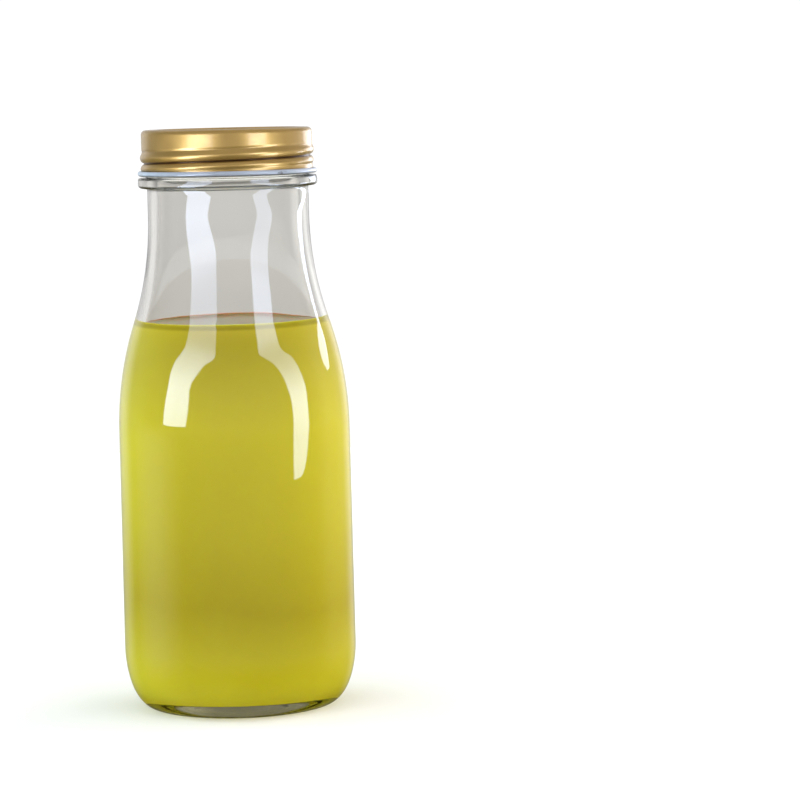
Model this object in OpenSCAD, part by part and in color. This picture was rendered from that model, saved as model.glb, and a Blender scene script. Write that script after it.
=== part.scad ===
// Glass milk bottle with a screw cap of sheet metal, a sealing disc in the cap, and a drink.
// Millimetres, +Z up. The origin is the middle of the foot, on the table.

/* [Bottle body] */
// Outside diameter of the body, just above the heel
body_d = 60; // [50:0.5:72]
// How much smaller the body's diameter is where the shoulder begins
body_taper = 0.4; // [0:0.1:2]
// Height of the glass, from the table to the rim of the mouth
glass_h = 147.2; // [122:0.1:177]
// Height at which the body ends and the shoulder begins
shoulder_z = 71.5; // [59:0.5:86]
// Thickness of the side wall
wall_t = 2.4; // [1.6:0.1:3.4]
// Thickness of the glass under the drink
base_t = 4.2; // [3:0.1:6]
// Width of the rounded heel, seen from below
heel_w = 7; // [5.5:0.1:9]
// Height of the rounded heel
heel_h = 15.5; // [12:0.5:19]
// How far the middle of the base is pushed up
punt_h = 1.6; // [0.5:0.1:3]
// Width of the flat ring that the bottle stands on
foot_w = 3; // [2:0.1:5]

/* [Neck and mouth] */
// Outside diameter of the neck
neck_d = 41.2; // [34:0.2:49.6]
// Length of the straight neck, from the shoulder to the bead
neck_len = 6.5; // [3:0.1:12]
// Height of the bead that rings the neck
bead_h = 2.7; // [2:0.1:4]
// How far the bead stands out from the neck
bead_out = 2.3; // [1.8:0.1:3.2]
// Height of the threaded mouth, from the bead to the rim
finish_h = 10.5; // [10.1:0.1:14]
// Rise of the thread in one turn
thread_pitch = 3; // [2.5:0.1:3.2]
// How far the thread stands out from the mouth
thread_depth = 0.7; // [0.6:0.05:1]
// Number of turns of the thread
thread_turns = 1.2; // [0.9:0.05:1.3]
// Distance from the rim down to the middle of the thread's upper end
thread_drop = 3; // [2.6:0.1:3.4]

/* [Cap] */
// Thickness of the sheet metal
sheet_t = 0.25; // [0.18:0.01:0.35]
// Gap between the thread of the glass and the skirt of the cap
skirt_gap = 0.15; // [0.1:0.01:0.4]
// How deep the rolled thread is pressed into the skirt
roll_depth = 0.65; // [0.5:0.05:0.75]
// How far the skirt swells above and below the rolled thread
roll_swell = 0.26; // [0:0.02:0.4]
// Outside radius of the corner between the top and the skirt
corner_r = 1.2; // [0.6:0.1:1.5]
// How far the top's middle panel is pressed down
panel_drop = 0.4; // [0.2:0.05:0.8]
// Width of the raised ring round the middle panel
panel_rim = 3.6; // [2.5:0.1:5]
// Width of the slope between the raised ring and the middle panel
panel_step = 0.7; // [0.4:0.1:1.2]
// Outside diameter of the rolled edge at the bottom of the skirt
curl_d = 1.35; // [1:0.05:1.6]
// Gap between the rolled edge and the bead
bead_gap = 0.4; // [0.2:0.05:0.8]

/* [Sealing disc] */
// Thickness of the disc
disc_t = 0.9; // [0.6:0.1:1.5]
// Gap between the disc and the skirt
disc_gap = 0.4; // [0.3:0.05:0.8]
// Gap left under and over the disc
disc_play = 0.06; // [0.04:0.01:0.15]

/* [Drink] */
// Distance from the rim down to the surface of the drink
headspace = 47.5; // [35:0.5:70]
// Gap between the drink and the glass
fill_gap = 0.05; // [0.03:0.01:0.1]

/* [Hidden] */

ROUND = 96;       // sides of a drawn circle
STEPS = 60;       // steps round the circle in the cap's shell and the thread
STEP_A = 360 / STEPS;

// radii of the glass
body_r = body_d / 2;
waist_r = body_r - body_taper / 2;
neck_r = neck_d / 2;
bore_r = neck_r - wall_t;
root_r = neck_r + 0.2;              // the threaded mouth is a little wider than the neck
crest_r = root_r + thread_depth;
bead_r = neck_r + bead_out;
foot_r = body_r - heel_w;

// heights of the glass
bead_z1 = glass_h - finish_h;
bead_z0 = bead_z1 - bead_h;
neck_z0 = bead_z0 - neck_len;
corner_thick = 0.6;                 // the glass is this much thicker round the inside of the heel
lip_r = 1.1;                        // rounding of the rim, outside
lip_in = 0.8;                       // rounding of the rim, inside
bead_round = 1;
bead_ease = 0.6;                    // rounding of the bead's upper edge and the neck's fillet

// thread form, in shares of the pitch
thread_sink = 0.5;                  // how deep the thread's own solid reaches into the glass
thread_foot = 0.27 * thread_pitch;  // half the thread's height where it leaves the mouth
thread_top = 0.1 * thread_pitch;    // half its height at the crest
roll_half = 0.32 * thread_pitch;    // half the height of the groove rolled into the cap
roll_apart = 0.51 * thread_pitch;   // from the groove's middle to the middle of each swelling
roll_below = 0.43 * thread_pitch;   // the cap's ridge runs this far under the glass thread
thread_a1 = 492;                    // angle of the thread's upper end
thread_a0 = thread_a1 - 360 * thread_turns;
thread_z1 = glass_h - thread_drop;
FADE_A = 36;                        // angle over which a thread runs out

// cap, measured on the middle of the sheet
half_t = sheet_t / 2;
skirt_r = crest_r + skirt_gap + half_t;
corner_mid = corner_r - half_t;
curl_mid = (curl_d - sheet_t) / 2;
cap_z0 = bead_z1 + bead_gap;
curl_z = cap_z0 + curl_d / 2;
disc_z0 = glass_h + disc_play;
disc_z1 = disc_z0 + disc_t;
panel_z = disc_z1 + disc_play + half_t;
top_z = panel_z + panel_drop;
disc_r = skirt_r - half_t - disc_gap;
panel_r = skirt_r - panel_rim;

// surface of the drink
fill_z = glass_h - headspace;

// points on an ellipse's arc, from angle a0 to a1
function arc(x, z, rx, rz, a0, a1, n) =
    [for (i = [0:n]) let (a = a0 + (a1 - a0) * i / n) [x + rx * cos(a), z + rz * sin(a)]];

// an S of two equal arcs, from radius r0 at height z0 up to the smaller radius r1 at z1
function shoulder(r0, r1, z0, z1) =
    let (turn = 2 * atan((r0 - r1) / (z1 - z0)), r = (z1 - z0) / (2 * sin(turn)))
    concat(arc(r0 - r, z0, r, r, 0, turn, 16), arc(r1 + r, z1, r, r, 180 + turn, 180, 16));

// a shallow dome over radius r, standing h high on height z, from its middle to its edge
function dome(r, z, h) =
    [for (i = [0:11]) [r * i / 12, z + h * (1 + cos(180 * i / 12)) / 2]];

function reversed(list) = [for (i = [len(list) - 1:-1:0]) list[i]];

// the space inside the glass, made smaller by a gap, from the floor's middle up to the rim
function inside(gap) =
    let (r = body_r - wall_t - gap, floor_z = base_t + gap, ease = heel_w - corner_thick, rise = heel_h - base_t)
    concat(
        dome(r - ease, floor_z, punt_h),
        arc(r - ease, floor_z + rise, ease, rise, -90, 0, 12),
        shoulder(waist_r - wall_t - gap, bore_r - gap, shoulder_z, neck_z0));

module glass_outline() {
    outside = concat(
        dome(foot_r - foot_w, 0, punt_h),
        [[foot_r - foot_w, 0]],
        arc(foot_r, heel_h, heel_w, heel_h, -90, 0, 16),
        shoulder(waist_r, neck_r, shoulder_z, neck_z0),
        arc(neck_r + bead_ease, bead_z0 - bead_ease, bead_ease, bead_ease, 180, 90, 4),
        arc(bead_r - bead_round, bead_z0 + bead_round, bead_round, bead_round, -90, 0, 6),
        arc(bead_r - bead_ease, bead_z1 - bead_ease, bead_ease, bead_ease, 0, 90, 4),
        [[root_r, bead_z1]],
        arc(root_r - lip_r, glass_h - lip_r, lip_r, lip_r, 0, 90, 6),
        arc(bore_r + lip_in, glass_h - lip_in, lip_in, lip_in, 90, 180, 5));
    polygon(concat(outside, reversed(inside(0))));
}

// middle height of the glass thread at angle a
function thread_z(a) = thread_z1 - thread_pitch * (thread_a1 - a) / 360;

// 0 at a thread's ends, 1 along its run
function run_in(a, a0, a1) =
    let (t = max(0, min(1, (a - a0) / FADE_A, (a1 - a) / FADE_A))) t * t * (3 - 2 * t);

// a closed solid from rings of points, each ring with the same number of points
module loft(rings) {
    n = len(rings[0]);
    last = len(rings) - 1;
    sides = [for (i = [0:last - 1], j = [0:n - 1]) let (k = (j + 1) % n, a = i * n, b = a + n)
        each [[a + j, b + j, b + k], [a + j, b + k, a + k]]];
    ends = [for (j = [1:n - 2]) each [[0, j, j + 1], [last * n, last * n + j + 1, last * n + j]]];
    polyhedron(points = [for (ring = rings) each ring], faces = concat(sides, ends));
}

module glass_thread() {
    sunk_r = root_r - thread_sink;
    base_r = root_r - thread_sink / 2;
    loft([for (a = [thread_a0:STEP_A:thread_a1])
        let (z = thread_z(a),
             crest = base_r + (crest_r - base_r) * run_in(a, thread_a0, thread_a1),
             section = [[sunk_r, -thread_foot], [base_r, -thread_foot], [crest, -thread_top],
                        [crest, thread_top], [base_r, thread_foot], [sunk_r, thread_foot]])
        [for (p = reversed(section)) [p[0] * cos(a), p[0] * sin(a), z + p[1]]]]);
}

module glass_bottle() {
    color([0.86, 0.9, 0.88, 0.35]) union() {
        rotate_extrude($fn = ROUND) glass_outline();
        glass_thread();
    }
}

module drink() {
    color([0.74, 0.7, 0.18]) intersection() {
        rotate_extrude($fn = ROUND) polygon(concat(inside(fill_gap), [[0, neck_z0]]));
        cylinder(h = fill_z, r = body_r, $fn = ROUND);
    }
}

// shape across a rolled groove or its swelling: 1 in the middle, 0 beyond half
function bell(x, half) = abs(x) < half ? (1 + cos(180 * x / half)) / 2 : 0;

// how far the rolled thread moves the skirt outwards at angle a and height z
function rolled(a, z) =
    let (pushes = [for (turn = [0:1]) let (
            at = a + 360 * turn,
            x = z - thread_z(at) + roll_below,
            on = run_in(at, thread_a0, thread_a1))
        on * (roll_swell * (bell(x - roll_apart, roll_half) + bell(x + roll_apart, roll_half))
              - roll_depth * bell(x, roll_half))])
    min(pushes) < 0 ? min(pushes) : max(pushes);

// the middle of the sheet from the top's middle down to the curl's end, at angle a
function sheet_line(a) =
    let (wall_z0 = curl_z, wall_z1 = top_z - corner_mid, n = 16)
    concat(
        [[0, panel_z], [panel_r, panel_z], [panel_r + panel_step / 2, panel_z + panel_drop / 2]],
        [[panel_r + panel_step, top_z]],
        arc(skirt_r - corner_mid, wall_z1, corner_mid, corner_mid, 90, 0, 4),
        [for (i = [1:n - 1]) let (z = wall_z1 + (wall_z0 - wall_z1) * i / n) [skirt_r + rolled(a, z), z]],
        arc(skirt_r + curl_mid, curl_z, curl_mid, curl_mid, 180, 470, 9));

// unit normal of a line of points at point i, to its left
function normal(line, i) =
    let (d = line[min(i + 1, len(line) - 1)] - line[max(i - 1, 0)]) [d[1], -d[0]] / norm(d);

// the sheet's section at angle a: the outer face from the top down, then the inner face back up
function sheet_ring(a) =
    let (line = sheet_line(a), last = len(line) - 1, up = [0, half_t],
         outer = [for (i = [1:last]) line[i] - half_t * normal(line, i)],
         inner = [for (i = [1:last]) line[i] + half_t * normal(line, i)])
    concat([line[0] + up], outer, reversed(inner), [line[0] - up]);

module cap_shell() {
    rings = [for (i = [0:STEPS - 1]) let (a = i * STEP_A)
        [for (p = sheet_ring(a)) [p[0] * cos(a), p[0] * sin(a), p[1]]]];
    n = len(rings[0]);
    // the two middle points are shared by every ring, so they come first and last
    points = concat([rings[0][0]], [for (ring = rings) each [for (j = [1:n - 2]) ring[j]]], [rings[0][n - 1]]);
    m = n - 2;
    low = len(points) - 1;
    faces = [for (i = [0:STEPS - 1]) let (k = (i + 1) % STEPS, a = 1 + i * m, b = 1 + k * m)
        each concat(
            [[0, b, a], [low, a + m - 1, b + m - 1]],
            [for (j = [0:m - 2]) each [[a + j, b + j, b + j + 1], [a + j, b + j + 1, a + j + 1]]])];
    color([0.72, 0.52, 0.22]) polyhedron(points = points, faces = faces);
}

module sealing_disc() {
    color([0.93, 0.93, 0.9]) translate([0, 0, disc_z0]) cylinder(h = disc_t, r = disc_r, $fn = ROUND);
}

glass_bottle();
drink();
cap_shell();
sealing_disc();
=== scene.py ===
# %% [markdown]
# # A glass milk bottle with a gold screw cap
# The bottle is one blown piece of clear glass. A cap of thin gold metal screws on its mouth, a foam disc
# in the cap seals the rim, and a cloudy yellow-green drink fills the glass to just below the neck.
# Every shape here is turned about one axis, so each piece is an outline carried round a circle, and what
# isn't round (the thread, the mould seams, the waviness of blown glass) is added as a change of radius.

# %% Load the frame that the pieces are built around
import math

import bpy
import numpy as np
from mathutils import Matrix, Vector


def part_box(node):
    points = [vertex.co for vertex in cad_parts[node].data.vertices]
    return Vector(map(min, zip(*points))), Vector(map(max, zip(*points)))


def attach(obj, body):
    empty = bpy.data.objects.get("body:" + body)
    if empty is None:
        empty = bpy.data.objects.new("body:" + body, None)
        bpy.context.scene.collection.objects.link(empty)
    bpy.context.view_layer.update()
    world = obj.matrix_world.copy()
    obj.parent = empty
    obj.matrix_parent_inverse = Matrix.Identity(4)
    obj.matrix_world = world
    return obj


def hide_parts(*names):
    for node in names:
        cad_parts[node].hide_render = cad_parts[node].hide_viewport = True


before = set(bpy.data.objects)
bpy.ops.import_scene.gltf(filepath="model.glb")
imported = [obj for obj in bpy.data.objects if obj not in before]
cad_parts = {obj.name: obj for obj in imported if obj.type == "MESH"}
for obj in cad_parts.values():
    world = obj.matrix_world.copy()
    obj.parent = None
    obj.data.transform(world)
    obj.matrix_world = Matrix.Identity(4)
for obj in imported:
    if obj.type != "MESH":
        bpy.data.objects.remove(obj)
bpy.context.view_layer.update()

MM = 0.001
glass_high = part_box("glass_bottle")[1]
drink_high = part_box("drink")[1]
cap_low, cap_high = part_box("cap_shell")
disc_low, disc_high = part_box("sealing_disc")
print("bottle", round(glass_high[2] / MM, 1), "mm tall; with its cap", round(cap_high[2] / MM, 1))

# %% [markdown]
# ## Outlines
# A bottle maker draws half of the section: straight lines joined by arcs. An outline here is a list of
# points (distance from the axis, height) in millimetres. Arcs of an ellipse make the heel, the bead and the
# rim, and two equal arcs, one bending out and one bending in, make the long shoulder. A curve drawn by hand
# would do too, but an outline worked out from sizes stays exact when a size changes.


# %% Arcs, shoulders and straight runs
def arc(r, z, size_r, size_z, start, end, n):
    """Points on an ellipse about (r, z): r + size_r cos a, z + size_z sin a, a from start to end degrees."""
    a = np.radians(np.linspace(start, end, n + 1))
    return np.column_stack([r + size_r * np.cos(a), z + size_z * np.sin(a)])


def shoulder(r0, r1, z0, z1, n=34):
    """Two equal arcs that touch: they leave r0 at z0 upright and reach the smaller r1 at z1 upright again."""
    turn = 2 * math.degrees(math.atan((r0 - r1) / (z1 - z0)))
    r = (z1 - z0) / (2 * math.sin(math.radians(turn)))
    return np.vstack([arc(r0 - r, z0, r, r, 0, turn, n), arc(r1 + r, z1, r, r, 180 + turn, 180, n)[1:]])


def run(r0, z0, r1, z1, step):
    """Points along a straight line, no more than step apart, both ends included."""
    n = max(1, math.ceil(math.hypot(r1 - r0, z1 - z0) / step))
    return np.linspace((r0, z0), (r1, z1), n + 1)


def dome(r, z, height, n=16):
    """A shallow mound from its middle to its edge: z + height (1 + cos(180 t)) / 2 at the share t of r."""
    t = np.linspace(0, 1, n + 1)
    return np.column_stack([r * t, z + height * (1 + np.cos(np.pi * t)) / 2])


def outline(*parts):
    """The parts one after another, without the points that repeat where two parts meet."""
    line = np.vstack(parts)
    apart = np.hypot(*np.diff(line, axis=0).T) > 1e-4
    return line[np.concatenate([[True], apart])]


print("a shoulder is drawn with", len(shoulder(30, 20, 0, 60)), "points")

# %% [markdown]
# ## From an outline to a closed mesh
# The outline becomes a grid: one row for each of its points, one column for each angle round the axis. The
# first and last rows lie on the axis, so each shrinks to one point and is closed with a fan of triangles.
# Going round anticlockwise and along the outline from the bottom up the outside makes every face look out.
# A Screw modifier turns an outline too, but it can't change the radius from one angle to the next.


# %% Grids turned about the axis
def even_angles(n):
    """n angles evenly round the circle, in radians, from +X towards +Y."""
    return np.arange(n) * 2 * np.pi / n


def turned(line, angles, change=None):
    """An outline carried round, (rows, columns, 3): r cos a, r sin a, z, with change(a, z) added to r."""
    r = line[:, :1] + np.zeros((1, len(angles)))
    z = line[:, 1:] + np.zeros((1, len(angles)))
    a = angles[None, :] + np.zeros((len(line), 1))
    if change is not None:
        r = r + change(a, z)
    return np.stack([r * np.cos(a), r * np.sin(a), z], axis=2)


# %% Closed pieces from grids
def closed_piece(name, grid, materials, slots=None):
    """A mesh from a grid in millimetres whose first and last rows are single points on the axis."""
    rows, cols = grid.shape[:2]
    points = np.vstack([grid[0, :1], grid[1:-1].reshape(-1, 3), grid[-1, :1]]) * MM
    j = np.arange(cols)
    k = (j + 1) % cols
    first = 1 + np.arange(rows - 3)[:, None] * cols
    quads = np.stack([first + j, first + k, first + cols + k, first + cols + j], axis=2).reshape(-1, 4)
    top = len(points) - 1
    low_fan = np.column_stack([np.zeros(cols, int), 1 + k, 1 + j])
    high_fan = np.column_stack([np.full(cols, top), top - cols + j, top - cols + k])
    mesh = bpy.data.meshes.new(name)
    mesh.from_pydata(points.tolist(), [], low_fan.tolist() + quads.tolist() + high_fan.tolist())
    mesh.polygons.foreach_set("use_smooth", np.ones(len(mesh.polygons), bool))
    for material in materials:
        mesh.materials.append(material)
    if slots is not None:
        row_slots = np.repeat(slots[1:-1], cols)
        per_face = np.concatenate([np.full(cols, slots[0]), row_slots, np.full(cols, slots[-1])])
        mesh.polygons.foreach_set("material_index", per_face)
    mesh.update()
    piece = bpy.data.objects.new(name, mesh)
    bpy.context.scene.collection.objects.link(piece)
    print(name, len(mesh.vertices), "points,", len(mesh.polygons), "faces")
    return piece


# %% [markdown]
# ## Materials as small node trees
# Each finish is a Principled shader with noise behind its colour, roughness or bump, all read from Object
# coordinates, so the pattern stays on the piece however it is turned. Numbers that are the same all over
# (the bend of light in glass, a lacquer's coat) sit on the shader's own sockets.


# %% A start for every material
def new_material(name, **sockets):
    """A material with one Principled shader, and the plain values that hold all over it."""
    material = bpy.data.materials.new(name)
    material.use_nodes = True
    shader = material.node_tree.nodes["Principled BSDF"]
    for key, value in sockets.items():
        shader.inputs[key.replace("_", " ")].default_value = value
    print("finish", name)
    return material, material.node_tree, shader


def link(tree, source, target):
    """One wire between two sockets."""
    tree.links.new(source, target)


# %% Values that a finish starts from: noise, and the height on the piece
def object_noise(tree, scale, stretch=(1, 1, 1), detail=3.0, roughness=0.5):
    """Noise on the piece's own coordinates, scale cycles a metre, stretched along the axes."""
    place = tree.nodes.new("ShaderNodeTexCoord")
    fit = tree.nodes.new("ShaderNodeMapping")
    fit.inputs["Scale"].default_value = stretch
    noise = tree.nodes.new("ShaderNodeTexNoise")
    noise.inputs["Scale"].default_value = scale
    noise.inputs["Detail"].default_value = detail
    noise.inputs["Roughness"].default_value = roughness
    link(tree, place.outputs["Object"], fit.inputs["Vector"])
    link(tree, fit.outputs["Vector"], noise.inputs["Vector"])
    return noise.outputs["Fac"]


def object_height(tree):
    """How high a point of the piece is at rest, in metres above the table."""
    place = tree.nodes.new("ShaderNodeTexCoord")
    apart = tree.nodes.new("ShaderNodeSeparateXYZ")
    link(tree, place.outputs["Object"], apart.inputs["Vector"])
    return apart.outputs["Z"]


# %% Colours and relief worked out from a value
def ramp(tree, value, *stops):
    """A colour for each value: stops are (position, colour), in rising order."""
    node = tree.nodes.new("ShaderNodeValToRGB")
    marks = node.color_ramp.elements
    marks[1].position = stops[-1][0]
    for position, _ in stops[1:-1]:
        marks.new(position)
    marks[0].position = stops[0][0]
    for mark, (_, colour) in zip(marks, stops):
        mark.color = (*colour, 1)
    link(tree, value, node.inputs["Fac"])
    return node.outputs["Color"]


def spread(tree, value, low, high, start=0.0, end=1.0):
    """A value between start and end carried to the range low to high."""
    node = tree.nodes.new("ShaderNodeMapRange")
    node.inputs["From Min"].default_value = start
    node.inputs["From Max"].default_value = end
    node.inputs["To Min"].default_value = low
    node.inputs["To Max"].default_value = high
    link(tree, value, node.inputs["Value"])
    return node.outputs["Result"]


def mixed(tree, share, colour, other):
    """The colour, with a plain other one in its place as far as the share says."""
    node = tree.nodes.new("ShaderNodeMix")
    node.data_type = "RGBA"
    node.inputs["B"].default_value = (*other, 1)
    link(tree, share, node.inputs["Factor"])
    link(tree, colour, node.inputs["A"])
    return node.outputs["Result"]


def bump(tree, shader, height, depth, strength):
    """Small relief on a shader: its depth in metres, and how strongly it shows."""
    node = tree.nodes.new("ShaderNodeBump")
    node.inputs["Distance"].default_value = depth
    node.inputs["Strength"].default_value = strength
    link(tree, height, node.inputs["Height"])
    link(tree, node.outputs["Normal"], shader.inputs["Normal"])


# %% [markdown]
# ## Clear glass
# Soda-lime glass bends light by about 1.52, and a thick wall takes a little of it, so the glass looks
# slightly grey where the view runs along the wall. The surface keeps a faint waviness from the mould. The
# thick base is coloured olive as a painted reflection of the drink above it. Lamps shine through to the
# drink by way of a clear shader that only their rays see: real rays bend, but tracing that light through
# curved glass takes far longer than the picture is worth.


# %% The glass
def clear_glass():
    """Rippled glass, coloured olive at the base as a painted reflection of the drink, whose body takes a little
    light on the way through.
    """
    material, tree, shader = new_material("clear_glass", Transmission_Weight=1.0, IOR=1.52, Roughness=0.0)
    # painted reflection: below about 2.5 mm the glass is coloured olive for the drink seen in the thick base; above
    # 5 mm it keeps its own faint grey
    above_painted_reflection = spread(tree, object_height(tree), 0, 1, 0.0025, 0.0050)
    tint = ramp(tree, above_painted_reflection, (0.0, (0.89, 0.87, 0.58)), (1.0, (0.975, 0.965, 0.94)))
    link(tree, tint, shader.inputs["Base Color"])
    ripple = object_noise(tree, 70, stretch=(1, 1, 0.6), detail=1.5)
    bump(tree, shader, ripple, 0.00035, strength=0.35)
    taken = tree.nodes.new("ShaderNodeVolumeAbsorption")
    taken.inputs["Color"].default_value = (0.62, 0.61, 0.57, 1)
    taken.inputs["Density"].default_value = 62
    output = tree.nodes["Material Output"]
    link(tree, taken.outputs["Volume"], output.inputs["Volume"])
    rays = tree.nodes.new("ShaderNodeLightPath")
    through = tree.nodes.new("ShaderNodeBsdfTransparent")
    through.inputs["Color"].default_value = (0.93, 0.93, 0.92, 1)
    last = shader.outputs["BSDF"]
    for kind in ("Is Shadow Ray", "Is Diffuse Ray"):
        either = tree.nodes.new("ShaderNodeMixShader")
        link(tree, rays.outputs[kind], either.inputs["Fac"])
        link(tree, last, either.inputs[1])
        link(tree, through.outputs["BSDF"], either.inputs[2])
        last = either.outputs["Shader"]
    link(tree, last, output.inputs["Surface"])
    return material


glass_material = clear_glass()

# %% [markdown]
# ## The bottle's glass
# The base is pushed up in the middle, so the bottle stands on a ring. The heel rounds into a body that is
# very nearly straight, the shoulder runs up in one long S, and a bead rings the neck under the thread. The
# inside follows at the wall's thickness, a little thicker round the heel, where blown glass gathers.

# %% Sizes of the glass, in millimetres
BODY_R = glass_high[0] / MM
RIM_Z = glass_high[2] / MM
WAIST_R = BODY_R - 0.2
WALL = 2.4
BASE = 4.2
PUNT = 1.6
FOOT_OUT = 23.0
FOOT_IN = 20.0
HEEL_W = BODY_R - FOOT_OUT
HEEL_H = 15.5
SHOULDER_Z = 71.5
NECK_R = 20.6
BORE_R = NECK_R - WALL
ROOT_R = 20.8
BEAD_R = 22.9
BEAD_TOP = RIM_Z - 10.5
BEAD_LOW = BEAD_TOP - 2.7
NECK_Z = BEAD_LOW - 6.5
print("bore", round(2 * BORE_R, 1), "mm across; the neck begins at", round(NECK_Z, 1), "mm")


# %% Both sides of the glass
def inside_of_glass():
    """The inner wall from the middle of the floor up to the straight bore."""
    ease = HEEL_W - 0.6
    r = BODY_R - WALL
    return outline(
        dome(r - ease, BASE, PUNT),
        arc(r - ease, HEEL_H, ease, HEEL_H - BASE, -90, 0, 18),
        run(r, HEEL_H, WAIST_R - WALL, SHOULDER_Z, 3.0),
        shoulder(WAIST_R - WALL, BORE_R, SHOULDER_Z, NECK_Z),
    )


def outside_of_glass():
    """The outer wall from the middle of the pushed-up base to the top of the rim."""
    return outline(
        dome(FOOT_IN - 0.4, 0.25, PUNT - 0.25),
        arc(FOOT_IN, 0.4, 0.4, 0.4, 200, 270, 4),
        run(FOOT_IN, 0, FOOT_OUT, 0, 0.8),
        arc(FOOT_OUT, HEEL_H, HEEL_W, HEEL_H, -90, 0, 28),
        run(BODY_R, HEEL_H, WAIST_R, SHOULDER_Z, 3.0),
        shoulder(WAIST_R, NECK_R, SHOULDER_Z, NECK_Z),
        run(NECK_R, NECK_Z, NECK_R, BEAD_LOW - 0.45, 1.5),
        arc(NECK_R + 0.45, BEAD_LOW - 0.45, 0.45, 0.45, 180, 90, 6),
        arc(BEAD_R - 0.9, BEAD_LOW + 0.9, 0.9, 0.9, -90, 0, 8),
        arc(BEAD_R - 0.6, BEAD_TOP - 0.6, 0.6, 0.6, 0, 90, 6),
        arc(ROOT_R + 0.3, BEAD_TOP + 0.3, 0.3, 0.3, 270, 180, 4),
        run(ROOT_R, BEAD_TOP + 0.3, ROOT_R, RIM_Z - 1.1, 0.16),
        arc(ROOT_R - 1.1, RIM_Z - 1.1, 1.1, 1.1, 0, 90, 8),
    )


print("outline points outside", len(outside_of_glass()), "and inside", len(inside_of_glass()))

# %% [markdown]
# The thread is a helix: its middle rises by one pitch in a turn, and a smooth bell across it gives its
# height above the mouth. It fades in and out at its ends. It could be a swept tube joined on with a
# Boolean, but as a change of radius it stays one skin with the mouth.

# %% The thread
PITCH = 3.0
THREAD_DEPTH = 0.7
THREAD_HALF = 0.95
THREAD_TOP_Z = RIM_Z - 3.0
THREAD_END = math.radians(492)
THREAD_START = THREAD_END - math.radians(432)
FADE = math.radians(36)


def smooth_step(x):
    """0 below 0, 1 above 1, and an S between."""
    t = np.clip(x, 0, 1)
    return t * t * (3 - 2 * t)


def bell(x, half):
    """1 at x = 0, falling as a cosine to 0 at half either side."""
    return np.where(np.abs(x) < half, (1 + np.cos(np.pi * np.clip(x / half, -1, 1))) / 2, 0)


def thread_height(a):
    """Height of the middle of the glass thread at an angle counted on past full turns."""
    return THREAD_TOP_Z - PITCH * (THREAD_END - a) / (2 * np.pi)


def thread_relief(a, z):
    """How far the thread stands out: a bell across the helix, faded at both ends, the higher of two turns."""
    relief = np.zeros_like(z)
    for turn in range(2):
        at = a + 2 * np.pi * turn
        fade = smooth_step((at - THREAD_START) / FADE) * smooth_step((THREAD_END - at) / FADE)
        relief = np.maximum(relief, THREAD_DEPTH * fade * bell(z - thread_height(at), THREAD_HALF) ** 0.7)
    return relief


print("the thread makes", round((THREAD_END - THREAD_START) / (2 * math.pi), 2), "turns")

# %% [markdown]
# Blown glass is never quite even, so slow waves change the radius a little, more on the inside, which no
# mould touched. Two fine seams show where the halves of the mould met. A bump map could fake both, but glass
# shows the true shape of its two faces in all that it bends and reflects, so they are in the mesh.

# %% Waves and seams, in millimetres
INNER_WAVE = 0.22
OUTER_WAVE = 0.03
SEAM_HIGH = 0.07
SEAM_SPREAD = 0.03
SEAM_STEP = 0.0045
SEAMS = (math.radians(0), math.radians(180))
DRAWN_IN = 0.1


def waves(a, z, size):
    """Slow unevenness: three waves round the bottle whose phase turns with height, size in millimetres."""
    return size * (
        np.sin(2 * a + z / 23 + 1.3) * 0.5 + np.sin(3 * a - z / 15 + 0.4) * 0.3 + np.sin(5 * a + z / 9 + 2.2) * 0.2
    )


def inner_waves(a, z):
    """Unevenness of the inner wall: none at the mouth, where a plunger shaped it."""
    return waves(a, z, INNER_WAVE) * smooth_step((NECK_Z + 6 - z) / 25)


def seam_relief(a, z):
    """The mould seams: high exp(-x x / spread), x the distance across, down each side of body and neck."""
    ridge = sum(np.exp(-((BODY_R * np.sin(a - s)) ** 2) / SEAM_SPREAD) * (np.cos(a - s) > 0) for s in SEAMS)
    return SEAM_HIGH * ridge * smooth_step((z - 3) / 4)


def outer_relief(a, z):
    """The thread on the mouth; below it seams and waves, drawn in so that they stay inside the full size."""
    below = seam_relief(a, z) + waves(a, z, OUTER_WAVE) - DRAWN_IN * smooth_step((NECK_Z - z) / 20)
    return np.where(z > BEAD_TOP + 0.35, thread_relief(a, z), below) * smooth_step(z / 1.2)


def glass_angles():
    """Even angles, with finer ones across each seam."""
    fine = np.array([-5, -4, -3, -2, -1, 1, 2, 3, 4, 5]) * SEAM_STEP
    return np.unique(np.concatenate([even_angles(208), *[(s + fine) % (2 * np.pi) for s in SEAMS]]))


print("angles round the glass", len(glass_angles()))


# %% The glass in one piece
def glass_bottle():
    """The whole glass as one closed grid: up the outside, over the rim, and down the inside."""
    outside = outside_of_glass()
    over = outline(
        arc(BORE_R + 0.8, RIM_Z - 0.8, 0.8, 0.8, 90, 180, 6),
        run(BORE_R, RIM_Z - 0.8, BORE_R, NECK_Z, 2.0),
    )
    line = outline(outside, over, inside_of_glass()[::-1])
    # both sides pass through the same heights, so the row's number says which side it is on
    is_out = (np.arange(len(line)) < len(outside))[:, None]
    off_axis = smooth_step(line[:, :1] / 12)

    def relief(a, z):
        """Outer relief on the outside's rows; on the others the inner waves, which die out at the axis."""
        return np.where(is_out, outer_relief(a, z), inner_waves(a, z) * off_axis)

    return closed_piece("glass_body", turned(line, glass_angles(), relief), [glass_material])


glass_piece = glass_bottle()
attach(glass_piece, "bottle")
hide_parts("glass_bottle")

# %% [markdown]
# ## The drink's colour
# A cloudy drink lets light in, scatters it and lets it out again nearby, so it glows a little and its edges
# look brighter than its middle. That is subsurface scattering; a volume would be truer, and many times
# slower. The colour changes with height: palest at the bottom and darkest a little above it. A thin dark
# line of painted shade runs round the glass just under the surface.

# %% The body of the drink and its surface
DRINK_Z = drink_high[2] / MM


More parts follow.
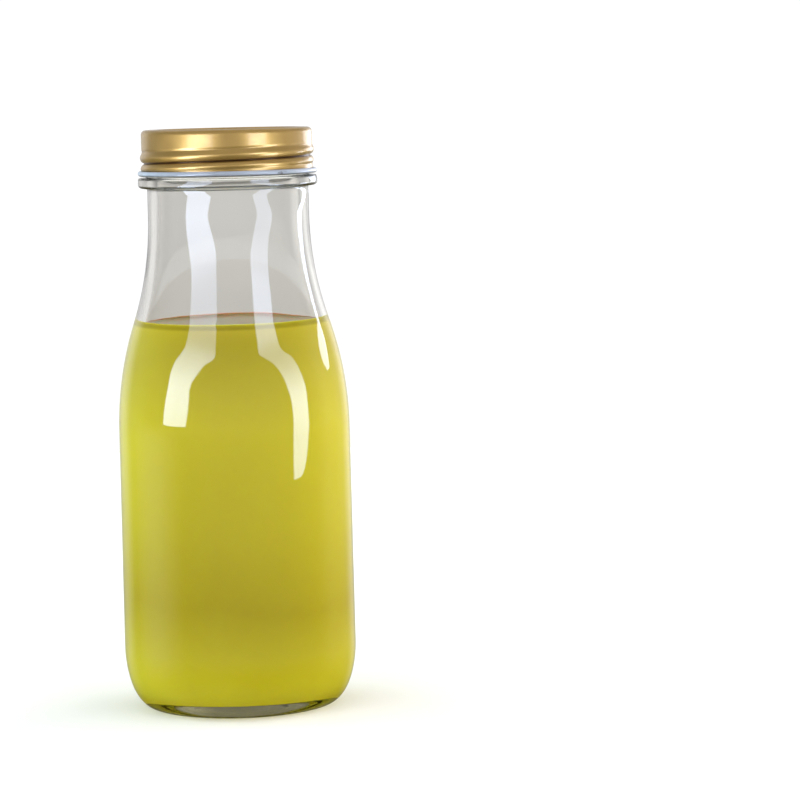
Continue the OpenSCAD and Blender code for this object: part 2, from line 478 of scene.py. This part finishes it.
def drink_body_finish():
    """Colours by height, drifted by noise, and a thin band of painted shade just under the surface."""
    material, tree, shader = new_material(
        "cloudy_drink",
        Roughness=0.3,
        IOR=1.34,
        Subsurface_Weight=1.0,
        Subsurface_Scale=0.010,
        Subsurface_Radius=(1.0, 0.85, 0.25),
        Specular_IOR_Level=0.0,
    )
    cloud = object_noise(tree, 30, stretch=(1, 1, 0.6), detail=2.0)
    above_table = object_height(tree)
    drift = tree.nodes.new("ShaderNodeMath")
    drift.operation = "MULTIPLY_ADD"
    drift.inputs[1].default_value = 0.16
    link(tree, cloud, drift.inputs[0])
    link(tree, spread(tree, above_table, 0, 1, 0.0, 0.1), drift.inputs[2])
    colour = ramp(
        tree,
        drift.outputs["Value"],
        (0.08, (0.70, 0.65, 0.050)),
        (0.20, (0.57, 0.51, 0.022)),
        (0.36, (0.45, 0.375, 0.008)),
        (0.56, (0.55, 0.48, 0.014)),
        (0.80, (0.62, 0.55, 0.018)),
        (1.0, (0.49, 0.42, 0.024)),
    )
    # painted shade: a thin dark olive band round the glass just under the drink's surface
    painted_shade_band = spread(tree, above_table, 0, 1, (DRINK_Z - 1.5) * MM, (DRINK_Z - 0.9) * MM)
    link(tree, mixed(tree, painted_shade_band, colour, (0.30, 0.255, 0.008)), shader.inputs["Base Color"])
    return material


def drink_top_finish():
    """The surface, painted dark brown as painted shade and reflection, with a thin uneven film on it."""
    material, tree, shader = new_material(
        "drink_top", Roughness=0.12, IOR=1.34, Subsurface_Weight=1.0, Subsurface_Scale=0.004, Specular_IOR_Level=0.05
    )
    film = object_noise(tree, 90, detail=2.0)
    # painted shade and reflection: the top is coloured dark brown, not the drink's yellow
    colour = ramp(tree, film, (0.3, (0.20, 0.15, 0.030)), (0.7, (0.25, 0.19, 0.045)))
    link(tree, colour, shader.inputs["Base Color"])
    bump(tree, shader, film, 0.00005, strength=0.2)
    return material


# %% [markdown]
# ## The drink
# The drink touches the glass with no air between, which is why it seems to fill the bottle to its very
# edge: its side is set a hair into the glass. Its top creeps up the wall in a narrow curve, the meniscus.
# The outline is the glass's own inner wall, so the two can't drift apart.

# %% The drink in the glass
CREEP = 0.55
CREEP_REACH = 1.1
CREEP_GAP = 0.3
OVERLAP = 0.06
LEVEL = DRINK_Z - 0.35


def drink():
    """The inner wall up to the drink's edge, then inwards along the meniscus: level + creep exp(-d / reach)."""
    wall = inside_of_glass()
    straight_up = wall[wall[:, 1] >= HEEL_H]
    edge_z = LEVEL + CREEP
    edge_r = np.interp(edge_z, straight_up[:, 1], straight_up[:, 0])
    side = wall[wall[:, 1] < edge_z - CREEP_GAP]
    distance = np.concatenate([np.linspace(0, 0.6, 5)[1:], np.geomspace(0.85, edge_r, 16)])
    top = np.column_stack([edge_r - distance, LEVEL + CREEP * np.exp(-distance / CREEP_REACH)])
    top[-1, 0] = 0
    line = outline(side, [(edge_r, edge_z)], top)
    on_wall = (np.arange(len(line)) <= len(side))[:, None]
    r = line[:, :1]

    def relief(a, z):
        """On the wall, the glass's own waves and the overlap; on the top, waves that are gone by the middle."""
        touching = inner_waves(a, z) * smooth_step(r / 12) + OVERLAP * smooth_step(r / 3)
        return np.where(on_wall, touching, inner_waves(a, z) * smooth_step((r - 15) / 8))

    slots = np.where(np.arange(len(line) - 1) >= len(side), 1, 0)
    finishes = [drink_body_finish(), drink_top_finish()]
    return closed_piece("drink_body", turned(line, even_angles(192), relief), finishes, slots)


drink_piece = drink()
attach(drink_piece, "bottle")
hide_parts("drink")

# %% [markdown]
# ## The cap's finishes
# The sheet is tinplate with gold lacquer over it: a metal's colour and shine with a thin clear coat. Rolling
# and handling leave fine lines round the skirt and dull patches. The groove, the crease over the rolled edge
# and the underside of that edge are darkened with painted shade.
# The inside is white enamel, and because the sheet's edge is rolled outwards, that white shows as a thin
# ring at the bottom of the cap, chipped here and there. The painted shade follows the shape: the mesh
# carries it as an attribute, which keeps to the helix as no noise could.


# %% Gold lacquer and white enamel
def with_painted_shade(tree, colour, dark):
    """The colour, with the dark one painted in its place as shade, as far as the piece's shade attribute says."""
    groove = tree.nodes.new("ShaderNodeAttribute")
    groove.attribute_name = "groove"
    return mixed(tree, groove.outputs["Fac"], colour, dark)


def gold_lacquer():
    """Satin gold: slow drifts of colour, painted shade in the groove and creases, rubbed patches in the roughness,
    and fine lines left by the rolls.
    """
    material, tree, shader = new_material(
        "gold_lacquer", Metallic=0.8, Coat_Weight=0.7, Coat_Roughness=0.16, Coat_IOR=1.5
    )
    drift = object_noise(tree, 60, detail=3.0)
    colour = ramp(tree, drift, (0.3, (0.42, 0.258, 0.066)), (0.7, (0.50, 0.315, 0.088)))
    # painted shade: dark brown in the groove, the crease and under the rolled edge
    link(tree, with_painted_shade(tree, colour, (0.10, 0.05, 0.012)), shader.inputs["Base Color"])
    rubbed = object_noise(tree, 300, detail=5.0, roughness=0.65)
    link(tree, spread(tree, rubbed, 0.34, 0.46, 0.3, 0.7), shader.inputs["Roughness"])
    rolled = object_noise(tree, 260, stretch=(0.12, 0.12, 9.0), detail=2.0)
    bump(tree, shader, rolled, 0.00002, strength=0.1)
    return material


def white_enamel():
    """Cool white that drifts a little, with small dark chips where the noise is lowest, and painted shade under the
    rolled edge.
    """
    material, tree, shader = new_material("white_enamel", Roughness=0.3, Coat_Weight=0.4, Coat_Roughness=0.08)
    drift = object_noise(tree, 240, detail=4.0)
    chipped, worn, clean = (0.10, 0.11, 0.12), (0.31, 0.355, 0.44), (0.38, 0.43, 0.53)
    colour = ramp(tree, drift, (0.34, chipped), (0.38, worn), (0.62, clean))
    # painted shade: near black under the rolled edge
    link(tree, with_painted_shade(tree, colour, (0.05, 0.05, 0.03)), shader.inputs["Base Color"])
    bump(tree, shader, drift, 0.00005, strength=0.3)
    return material


gold_material = gold_lacquer()
enamel_material = white_enamel()

# %% [markdown]
# ## The cap
# One sheet, 0.25 mm thick: a top with its middle pressed down, a rounded corner, a skirt, and an edge
# rolled outwards into a tube. The thread is rolled into the skirt under the glass thread, so from outside it
# is a groove that climbs to the right, with a soft swelling above and below, and a faint second turn higher
# up where the roll ran out. The sheet's middle line is carried along with its normal, half the thickness to
# each side. A Solidify modifier does the same, but here the inside gets its own finish and the edge its own
# faces.

# %% Sizes of the cap, in millimetres
SHEET = 0.25
SKIRT_R = 21.5 + 0.15 + SHEET / 2
CAP_TOP = cap_high[2] / MM - SHEET / 2
CORNER = 1.2 - SHEET / 2
CURL_D = 1.35
CURL_MID = (CURL_D - SHEET) / 2
CURL_Z = cap_low[2] / MM + CURL_D / 2
PANEL_DROP = 0.4
PANEL_R = SKIRT_R - 3.6
PANEL_STEP = 0.9
print("cap", round(2 * (SKIRT_R + SHEET / 2), 2), "mm across its skirt")


# %% The sheet's outline
def sheet_line():
    """The middle of the sheet, from the middle of the top to the end of the rolled edge."""
    wall_top = CAP_TOP - CORNER
    return outline(
        run(0, CAP_TOP - PANEL_DROP, PANEL_R - 0.2, CAP_TOP - PANEL_DROP, 3.0),
        dome(PANEL_STEP, CAP_TOP, -PANEL_DROP, 8) + (PANEL_R, 0),
        run(PANEL_R + PANEL_STEP + 0.2, CAP_TOP, SKIRT_R - CORNER - 0.1, CAP_TOP, 0.9),
        arc(SKIRT_R - CORNER, wall_top, CORNER, CORNER, 90, 0, 9),
        run(SKIRT_R, wall_top - 0.05, SKIRT_R, CURL_Z + 0.05, 0.14),
        arc(SKIRT_R + CURL_MID, CURL_Z, CURL_MID, CURL_MID, 180, 475, 22),
    )


print("points along the sheet", len(sheet_line()))

# %% The rolled thread, in millimetres; angles in radians
ROLL_BELOW = 0.43 * PITCH
ROLL_DEPTH, ROLL_HALF = 0.66, 0.62
ABOVE_HIGH, ABOVE_UP, ABOVE_HALF = 0.42, 1.45, 1.40
BELOW_HIGH, BELOW_DOWN, BELOW_HALF = 0.30, 1.30, 0.95
FAINT_DEPTH, FAINT_LENGTH, FAINT_FADE = 0.10, 3.9, 0.9
SKIRT_EASE = 0.7


def rolled_thread(a, z):
    """The skirt's change of radius: a groove along the helix, a swelling each side, and a faint later turn."""
    change = np.zeros_like(z)
    for turn in range(3):
        at = a + 2 * np.pi * turn
        off = z - thread_height(at) + ROLL_BELOW
        on = smooth_step((at - THREAD_START) / FADE) * smooth_step((THREAD_END - at) / (2 * FADE) + 0.5)
        faint_end = smooth_step((THREAD_END + FAINT_LENGTH - at) / FAINT_FADE)
        faint = smooth_step((at - THREAD_END) / FADE + 0.5) * faint_end
        swell = ABOVE_HIGH * bell(off - ABOVE_UP, ABOVE_HALF) + BELOW_HIGH * bell(off + BELOW_DOWN, BELOW_HALF)
        change += on * (swell - ROLL_DEPTH * bell(off, ROLL_HALF))
        change -= faint * FAINT_DEPTH * bell(off, ROLL_HALF)
    low, high = CURL_Z + 0.2, CAP_TOP - CORNER - 0.1
    return change * (smooth_step((z - low) / SKIRT_EASE) * smooth_step((high - z) / SKIRT_EASE))


# %% Where the cap is painted dark with shade
GROOVE_FROM, GROOVE_FULL = 0.04, 0.50
CREASE_UP, CREASE_HALF, CREASE_DARK = 0.30, 0.70, 0.85
UNDER_HALF = 0.42


def painted_shade_share(line, r, z, on_skirt):
    """0 to 1 for each point, how much painted shade: the groove's depth, the crease over the rolled edge, and that
    edge's underside.
    """
    depth = np.clip((SKIRT_R + GROOVE_FROM - r) / GROOVE_FULL, 0, 1) * on_skirt
    crease = bell(z - (CURL_Z + CREASE_UP), CREASE_HALF) * on_skirt * CREASE_DARK
    under = bell(z - (CURL_Z - CURL_MID), UNDER_HALF) * (line[:, :1] > SKIRT_R + 0.1)
    return np.maximum(np.maximum(depth**1.5, crease), under)


# %% The cap in one piece
def cap():
    """The sheet as a closed grid: its inner face from the axis out to the cut edge, then its outer face back."""
    line = sheet_line()
    on_skirt = np.abs(line[:, :1] - SKIRT_R) < 1e-6
    a = even_angles(240)[None, :] + np.zeros((len(line), 1))
    z = line[:, 1:] + np.zeros_like(a)
    r = line[:, :1] + np.where(on_skirt, rolled_thread(a, z), 0)
    along_r, along_z = np.gradient(r, axis=0), np.gradient(z, axis=0)
    length = np.hypot(along_r, along_z)
    out_r, out_z = -along_z / length * SHEET / 2, along_r / length * SHEET / 2
    out_r[0], out_z[0] = 0, SHEET / 2
    both_r = np.vstack([r - out_r, (r + out_r)[::-1]])
    both_z = np.vstack([z - out_z, (z + out_z)[::-1]])
    grid = np.stack([both_r * np.cos(a[0]), both_r * np.sin(a[0]), both_z], axis=2)
    slots = np.concatenate([np.ones(len(line), int), np.zeros(len(line) - 1, int)])
    piece = closed_piece("cap_gold", grid, [gold_material, enamel_material], slots)
    # painted shade for each point, kept on the mesh as an attribute for the finishes to read
    dark = painted_shade_share(line, r, z, on_skirt)
    both = np.vstack([dark, dark[::-1]])
    per_point = np.concatenate([both[0, :1], both[1:-1].ravel(), both[-1, :1]])
    groove = piece.data.attributes.new("groove", "FLOAT", "POINT")
    groove.data.foreach_set("value", per_point.astype(np.float32))
    return piece


cap_piece = cap()
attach(cap_piece, "cap")
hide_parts("cap_shell")

# %% [markdown]
# ## The sealing disc
# A disc of foam with a smooth skin lies loose in the cap and squeezes on the rim. It shows only when the cap
# is lifted: a soft edge, and a ring pressed into its underside by the glass. It is turned like the rest,
# because a bevelled cylinder would have no pressed ring.

# %% The disc
DISC_R = disc_high[0] / MM
DISC_LOW = disc_low[2] / MM
DISC_HIGH = disc_high[2] / MM
DISC_EDGE = 0.3
PRESSED, PRESSED_HALF = 0.12, 1.3


def foam():
    """Closed-cell foam: fine cells in its colour and its relief, and a little light let in."""
    material, tree, shader = new_material(
        "foam_skin", Roughness=0.55, Subsurface_Weight=0.1, Subsurface_Scale=0.001
    )
    cells = object_noise(tree, 1600, detail=3.0)
    colour = ramp(tree, cells, (0.3, (0.74, 0.74, 0.70)), (0.7, (0.84, 0.84, 0.81)))
    link(tree, colour, shader.inputs["Base Color"])
    bump(tree, shader, cells, 0.00008, strength=0.5)
    return material


def sealing_disc():
    """A flat disc with round edges; a bell across the radius presses in its underside where the rim bears."""
    flat_r = DISC_R - DISC_EDGE
    under = run(0, DISC_LOW, flat_r, DISC_LOW, 0.35)
    rim_middle = (BORE_R + ROOT_R) / 2
    under[:, 1] += PRESSED * bell(under[:, 0] - rim_middle, PRESSED_HALF)
    line = outline(
        under,
        arc(flat_r, DISC_LOW + DISC_EDGE, DISC_EDGE, DISC_EDGE, -90, 0, 5),
        arc(flat_r, DISC_HIGH - DISC_EDGE, DISC_EDGE, DISC_EDGE, 0, 90, 5),
        run(flat_r, DISC_HIGH, 0, DISC_HIGH, 2.0),
    )
    return closed_piece("foam_disc", turned(line, even_angles(128)), [foam()])


disc_piece = sealing_disc()
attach(disc_piece, "seal")
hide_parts("sealing_disc")

# %% [markdown]
# ## Floor, lamps and camera
# The studio is plain: a pale floor, and soft lamps whose shapes show in the glass and the gold as tall
# bright strips. The floor lies a hair under the foot, because two faces in one place would flicker, and the
# glass and the gold don't reflect it.

# %% The floor
FLOOR_R = 0.6
FLOOR_Z = -0.0003


def pale_floor():
    """A flat round floor, pale and almost even."""
    material, tree, shader = new_material("pale_floor", Roughness=0.6, Specular_IOR_Level=0.2)
    grain = object_noise(tree, 6, detail=2.0)
    colour = ramp(tree, grain, (0.3, (0.86, 0.86, 0.86)), (0.7, (0.88, 0.88, 0.88)))
    link(tree, colour, shader.inputs["Base Color"])
    edge = [(FLOOR_R * math.cos(a), FLOOR_R * math.sin(a), FLOOR_Z) for a in even_angles(96)]
    mesh = bpy.data.meshes.new("floor")
    mesh.from_pydata(edge, [], [tuple(range(len(edge)))])
    mesh.materials.append(material)
    floor = bpy.data.objects.new("floor", mesh)
    floor.visible_glossy = False
    bpy.context.scene.collection.objects.link(floor)
    print("floor", 2 * FLOOR_R, "m across")


pale_floor()

# %% [markdown]
# Glass and gold are seen by what they reflect, so the room is a panorama worked out from a ray's direction.
# The angle round the bottle picks the wall: bright behind, darker at the sides, middling in front. Below the
# table's height it gets darker and olive, as a table near such a drink does, with a wide soft glow on the
# left. The camera itself sees plain white, like the floor.

# %% The room
WALLS = (
    (-180, 0.70), (-163, 0.70), (-150, 1.0), (-140, 1.0), (-127, 0.42), (-95, 0.40), (-75, 0.45),
    (-20, 0.66), (36, 0.66), (84, 0.50), (104, 0.80), (120, 0.60), (136, 0.60), (150, 1.20),
    (158, 1.20), (168, 0.70), (180, 0.70),
)
HEIGHTS = (
    (-90, 0.30), (-40, 0.34), (-22, 0.42), (-9, 0.62), (-3, 1.0),
    (10, 1.0), (26, 0.45), (50, 0.9), (90, 0.6),
)
GLOW_AT, GLOW_HALF, GLOW_BELOW, GLOW = -88, 32, 2, 0.75
CAMERA_WHITE = 1.05


def worked(tree, operation, *values, clamp=False):
    """One sum of a shader: an operation on sockets or plain numbers."""
    node = tree.nodes.new("ShaderNodeMath")
    node.operation = operation
    node.use_clamp = clamp
    for socket, value in zip(node.inputs, values):
        if isinstance(value, (int, float)):
            socket.default_value = value
        else:
            link(tree, value, socket)
    return node.outputs["Value"]


def low_glow(tree, turn, rise):
    """0 to 1: full round its middle angle, gone at half its width either side, and only under the horizon."""
    aside = worked(tree, "ABSOLUTE", worked(tree, "SUBTRACT", turn, (180 + GLOW_AT) / 360))
    across = worked(tree, "MULTIPLY", worked(tree, "SUBTRACT", GLOW_HALF / 360, aside), 14, clamp=True)
    under = worked(tree, "SUBTRACT", (90 - GLOW_BELOW) / 180, rise)
    return worked(tree, "MULTIPLY", across, worked(tree, "MULTIPLY", under, 40, clamp=True))


def room():
    """Walls by angle times heights by angle, with the glow added, then tinted; the camera sees white."""
    world = bpy.data.worlds.new("room")
    bpy.context.scene.world = world
    world.use_nodes = True
    world.cycles_visibility.diffuse = False
    tree = world.node_tree
    place = tree.nodes.new("ShaderNodeTexCoord")
    apart = tree.nodes.new("ShaderNodeSeparateXYZ")
    link(tree, place.outputs["Generated"], apart.inputs["Vector"])
    ahead = worked(tree, "MULTIPLY", apart.outputs["Y"], -1)
    turn = spread(tree, worked(tree, "ARCTAN2", apart.outputs["X"], ahead), 0, 1, -math.pi, math.pi)
    rise = spread(tree, worked(tree, "ARCSINE", apart.outputs["Z"]), 0, 1, -math.pi / 2, math.pi / 2)
    # a ramp's colours end at 1, so the walls are halved in it and doubled after it
    walls = ramp(tree, turn, *[((angle + 180) / 360, (v / 2, v / 2, v / 2)) for angle, v in WALLS])
    heights = ramp(tree, rise, *[((angle + 90) / 180, (v, v, v)) for angle, v in HEIGHTS])
    light = worked(tree, "MULTIPLY", worked(tree, "MULTIPLY", walls, heights), 2)
    light = worked(tree, "MULTIPLY_ADD", low_glow(tree, turn, rise), GLOW, light)
    tint = ramp(tree, rise, (0.36, (0.50, 0.42, 0.08)), (0.42, (0.85, 0.80, 0.60)), (0.46, (1, 1, 1)))
    tinted = tree.nodes.new("ShaderNodeMix")
    tinted.data_type, tinted.blend_type = "RGBA", "MULTIPLY"
    tinted.inputs["Factor"].default_value = 1
    link(tree, light, tinted.inputs["A"])
    link(tree, tint, tinted.inputs["B"])
    rays = tree.nodes.new("ShaderNodeLightPath")
    white = (CAMERA_WHITE, CAMERA_WHITE, CAMERA_WHITE)
    seen = mixed(tree, rays.outputs["Is Camera Ray"], tinted.outputs["Result"], white)
    link(tree, seen, tree.nodes["Background"].inputs["Color"])
    print("room with", len(WALLS), "marks round it and", len(HEIGHTS), "up it")


room()

# %% [markdown]
# Soft boxes close to the bottle draw the tall bright strips. Their edges lean: near the floor a box stands
# further round to the side than it does higher up, so the strip steps outwards where the shoulder meets the
# body. Each lamp is a flat rectangle, and its own shader lets light out only between two curved edges. Many
# small lamps in a row would do it too, but would leave steps. The boxes show in the glass and the gold only.

# %% How a soft box is cut to shape
DISTANCE = 0.12
REACH = 30
POWER = 1.25
BLUISH = (0.70, 0.79, 1.0)
TOP_RADIANCE = 20
SHARPNESS = 45


def height_curve(tree, height, *points):
    """A smooth curve up the lamp, from 0 to 1: where an edge stands across it, or how bright it is."""
    node = tree.nodes.new("ShaderNodeFloatCurve")
    curve = node.mapping.curves[0]
    for _ in range(len(points) - 2):
        curve.points.new(0.5, 0.5)
    for point, (x, y) in zip(curve.points, points):
        point.location = (x, y)
    node.mapping.update()
    link(tree, height, node.inputs["Value"])
    return node.outputs["Value"]


def soft_box(name, azimuth, rows):
    """A lamp facing the axis; rows are (height, one edge's angle, the other's, radiance), joined up."""
    low, high = rows[0][0], rows[-1][0]
    width = 2 * DISTANCE * math.tan(math.radians(REACH))
    lamp = bpy.data.lights.new(name, "AREA")
    lamp.shape = "RECTANGLE"
    lamp.size, lamp.size_y = width, high - low
    lamp.energy = POWER * math.pi * width * (high - low)
    lamp.color = BLUISH
    lamp.use_nodes = True
    tree = lamp.node_tree
    place = tree.nodes.new("ShaderNodeNewGeometry")
    apart = tree.nodes.new("ShaderNodeSeparateXYZ")
    link(tree, place.outputs["Parametric"], apart.inputs["Vector"])
    across, up = apart.outputs["X"], apart.outputs["Y"]
    span = [max(0.0, min(1.0, (z - low) / (high - low))) for z, *_ in rows]
    ends = [[0.5 + DISTANCE * math.tan(math.radians(row[k] - azimuth)) / width for row in rows] for k in (1, 2)]
    left, right = (height_curve(tree, up, *zip(span, end)) for end in ends)
    power = height_curve(tree, up, *zip(span, [row[3] / TOP_RADIANCE for row in rows]))
    after = worked(tree, "MULTIPLY", worked(tree, "SUBTRACT", across, left), SHARPNESS, clamp=True)
    before = worked(tree, "MULTIPLY", worked(tree, "SUBTRACT", right, across), SHARPNESS, clamp=True)
    share = worked(tree, "MULTIPLY", after, before)
    strength = worked(tree, "MULTIPLY", worked(tree, "MULTIPLY", share, power), TOP_RADIANCE)
    link(tree, strength, tree.nodes["Emission"].inputs["Strength"])
    holder = bpy.data.objects.new(name, lamp)
    a = math.radians(azimuth)
    away = Vector((math.sin(a), -math.cos(a), 0))
    turn = away.to_track_quat("Z", "Y").to_matrix()
    holder.matrix_world = Matrix.Translation(away * DISTANCE + Vector((0, 0, (low + high) / 2))) @ turn.to_4x4()
    holder.visible_camera = holder.visible_diffuse = holder.visible_transmission = False
    bpy.context.scene.collection.objects.link(holder)
    print(name, "from", low, "to", high, "m up")


# %% The three soft boxes
LEFT = (
    (0.072, -68, -43, 10.0), (0.090, -66, -40, 11.5), (0.104, -64, -39, 11.5),
    (0.116, -62.5, -32, 9.5), (0.1245, -59, -26, 8.0), (0.131, -54, -19.5, 7.0),
    (0.136, -51, -17, 6.0), (0.144, -50, -17, 4.5), (0.166, -50, -17, 4.5),
)
RIGHT = (
    (0.050, 52, 53, 8.0), (0.0575, 52, 69, 8.5), (0.090, 52, 72, 10.0), (0.098, 50, 71.5, 9.0),
    (0.112, 45, 67, 6.0), (0.122, 38, 61, 4.5), (0.130, 30, 52, 4.5), (0.136, 26, 50, 5.0),
    (0.144, 26, 50, 6.5), (0.166, 26, 49, 6.5),
)
BEHIND = (
    (0.098, 106, 112, 5.5), (0.112, 101, 117, 6.0), (0.122, 106, 120, 6.0),
    (0.130, 126, 146, 4.0), (0.136, 120, 148, 3.0), (0.166, 114, 148, 3.0),
)
soft_box("left_box", -43, LEFT)
soft_box("right_box", 49, RIGHT)
soft_box("behind_box", 122, BEHIND)

# %% [markdown]
# The floor and the drink are lit by wide soft suns, which light every place alike and show in no reflection.
# The two behind are the brightest, because a cloudy drink with light behind it glows at its edges. Light
# also goes through the base both ways, down to the table and up to the drink. The glass's clear shader
# doesn't carry it there, so two small discs of light inside the base stand in for it.


# %% The suns, and the light in the base
def light_matt_only(holder):
    """Put a lamp in the scene that only matt surfaces see."""
    holder.visible_camera = holder.visible_glossy = holder.visible_transmission = False
    bpy.context.scene.collection.objects.link(holder)


def soft_sun(name, azimuth, elevation, strength, colour=(1, 1, 1), width=60):
    """A sun this many degrees wide. Azimuth 0 is in front of the bottle and 90 on its right."""
    lamp = bpy.data.lights.new(name, "SUN")
    lamp.energy = strength
    lamp.angle = math.radians(width)
    lamp.color = colour
    holder = bpy.data.objects.new(name, lamp)
    a, e = math.radians(azimuth), math.radians(elevation)
    away = Vector((math.sin(a) * math.cos(e), -math.cos(a) * math.cos(e), math.sin(e)))
    holder.matrix_world = away.to_track_quat("Z", "Y").to_matrix().to_4x4()
    light_matt_only(holder)


def base_glow(name, z, colour, strength, upward):
    """Light that the base passes on between drink and table: a small disc that faces up or down."""
    lamp = bpy.data.lights.new(name, "AREA")
    lamp.shape = "DISK"
    lamp.size = 0.036
    lamp.energy = strength * math.pi * math.pi * (lamp.size / 2) ** 2
    lamp.color = colour
    holder = bpy.data.objects.new(name, lamp)
    turn = Matrix.Rotation(math.pi if upward else 0, 4, "X")
    holder.matrix_world = Matrix.Translation((0, 0, z)) @ turn
    light_matt_only(holder)


soft_sun("front_left_sun", -50, 30, 1.45)
soft_sun("front_right_sun", 55, 30, 1.45)
soft_sun("back_right_sun", 118, 8, 3.8, (1.0, 0.96, 0.90))
soft_sun("back_left_sun", -118, 8, 3.8, (0.68, 0.92, 1.0))
soft_sun("overhead_sun", 0, 90, 1.8, width=110)
base_glow("glow_on_table", 0.0010, (0.80, 0.68, 0.08), 1.5, upward=False)
base_glow("glow_on_drink", 0.0032, (1.0, 1.0, 0.9), 0.9, upward=True)
print("lamps", sorted(lamp.name for lamp in bpy.data.lights))

# %% [markdown]
# The camera stands a little above the cap, and far enough away that the bottle's sides look nearly upright.
# It looks past the bottle on the right, so the bottle stands left of the middle, and it leans very slightly.


# %% The camera
def place_camera(distance, height, yaw, pitch, roll, lens):
    """A camera in front of the bottle, turned right by yaw, down by pitch and clockwise by roll, in degrees."""
    data = bpy.data.cameras.new("camera")
    data.lens = lens
    data.sensor_width = 36.0
    data.clip_start, data.clip_end = 0.05, 20.0
    camera = bpy.data.objects.new("camera", data)
    y, p, r = (math.radians(v) for v in (yaw, pitch, roll))
    ahead = Vector((math.sin(y) * math.cos(p), math.cos(y) * math.cos(p), -math.sin(p)))
    right = ahead.cross(Vector((0, 0, 1))).normalized()
    up = right.cross(ahead)
    leant_up = up * math.cos(r) + right * math.sin(r)
    leant_right = right * math.cos(r) - up * math.sin(r)
    turn = Matrix((leant_right, leant_up, -ahead)).transposed()
    camera.matrix_world = Matrix.Translation((0, -distance, height)) @ turn.to_4x4()
    bpy.context.scene.collection.objects.link(camera)
    bpy.context.scene.camera = camera
    print("camera", distance, "m away with a", lens, "mm lens")


place_camera(distance=0.850, height=0.1600, yaw=2.894, pitch=5.524, roll=1.330, lens=148.53)

# %% [markdown]
# The colours are shown as they are, with no film curve. Light that a lamp sends through glass is counted
# once, by the clear shader above, so the slower bent paths are turned off.

# %% How light is counted and shown
scene = bpy.context.scene
scene.view_settings.view_transform = "Standard"
scene.cycles.caustics_refractive = False
scene.cycles.caustics_reflective = False
scene.cycles.max_bounces = 16
scene.cycles.transmission_bounces = 16
scene.cycles.transparent_max_bounces = 16
print("light may bounce", scene.cycles.max_bounces, "times")
